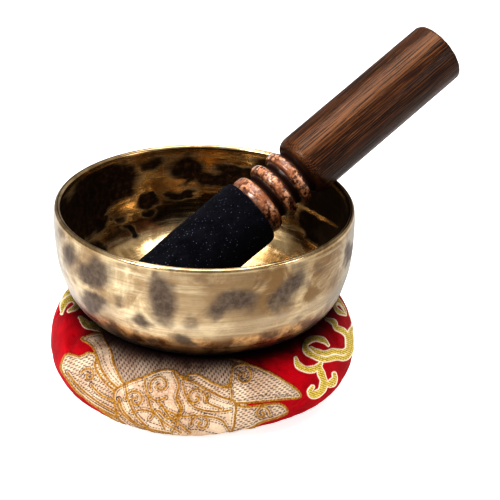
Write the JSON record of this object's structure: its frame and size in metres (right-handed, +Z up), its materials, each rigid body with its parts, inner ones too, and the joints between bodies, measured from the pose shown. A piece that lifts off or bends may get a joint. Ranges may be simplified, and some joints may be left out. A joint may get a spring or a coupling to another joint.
{
  "type": "singing bowl set",
  "caption": "Hammered metal singing bowl resting in a round brocade cushion, with a suede-wrapped turned wooden mallet leaning in it.",
  "frame": {"origin": "centre of the cushion's flat underside, on the floor, on the bowl's axis", "axes": "+Z up along the bowl's axis; -Y is the front; the mallet's grip leans out towards +X and +Y"},
  "size_m": [0.1673, 0.1315, 0.1348],
  "materials": {
    "bowl_metal": "hammered and polished, with a dark mottled patina",
    "brocade": "satin weave with woven floral and cloud scroll figures",
    "base_cloth": "plain weave",
    "wadding": "matt fibre",
    "thread": "twisted thread",
    "hardwood": "satin oiled",
    "suede": "napped suede"
  },
  "bodies": {
    "cushion": {"cushion_top_panel": "brocade", "cushion_base_panel": "base_cloth", "cushion_filling": "wadding", "cushion_seam_thread": "thread"},
    "bowl": {"bowl": "bowl_metal"},
    "mallet": {"mallet_handle": "hardwood", "mallet_suede_sleeve": "suede"}
  },
  "joints": [
    {"name": "bowl_lift", "type": "slide", "parent": "cushion", "child": "bowl", "axis": [0, 0, 1], "range_m": [0, 0.1]},
    {"name": "mallet_draw", "type": "slide", "parent": "bowl", "child": "mallet", "axis": [0.7222, 0.478, 0.5], "range_m": [0, 0.13]}
  ]
}
